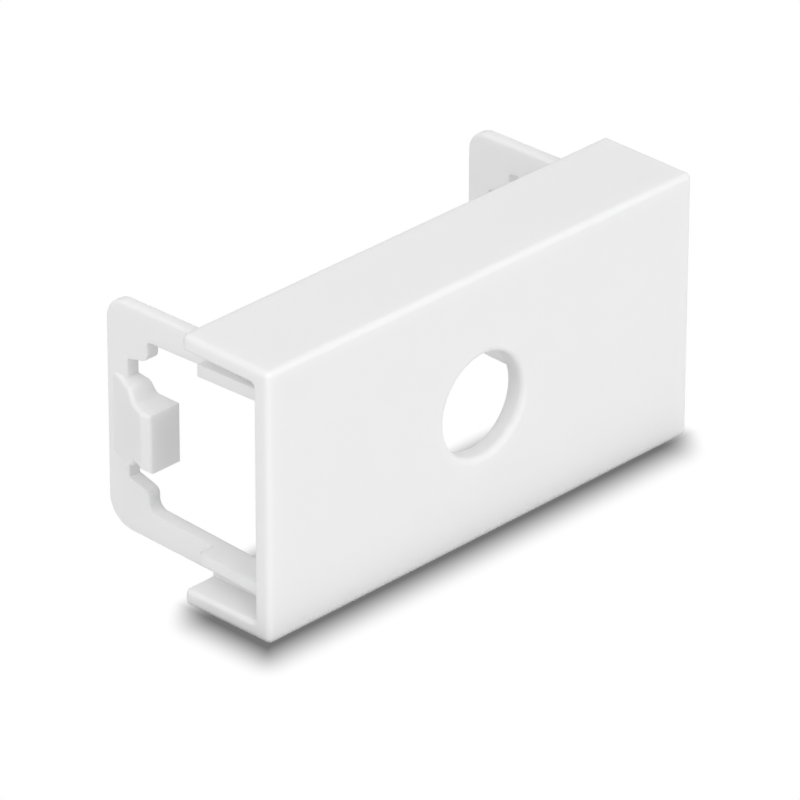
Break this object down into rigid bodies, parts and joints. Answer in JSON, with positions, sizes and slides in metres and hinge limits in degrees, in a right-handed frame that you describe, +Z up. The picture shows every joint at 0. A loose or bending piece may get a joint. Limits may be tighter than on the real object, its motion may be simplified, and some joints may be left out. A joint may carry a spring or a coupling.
{
  "type": "snap-in mounting module",
  "caption": "White moulded snap-in module plate with a round cut-out, long walls behind it and a latch ear near each end that clips into a system frame.",
  "frame": {"origin": "on the axis of the round cut-out, at the plate's front face", "axes": "+X along the plate, +Y back into the frame that it clips into, +Z up, across the two long walls"},
  "size_m": [0.045, 0.0197, 0.0226],
  "materials": {
    "white_plastic": "satin white, fine moulded texture"
  },
  "bodies": {
    "root": {"module_plate": "white_plastic"}
  },
  "joints": []
}
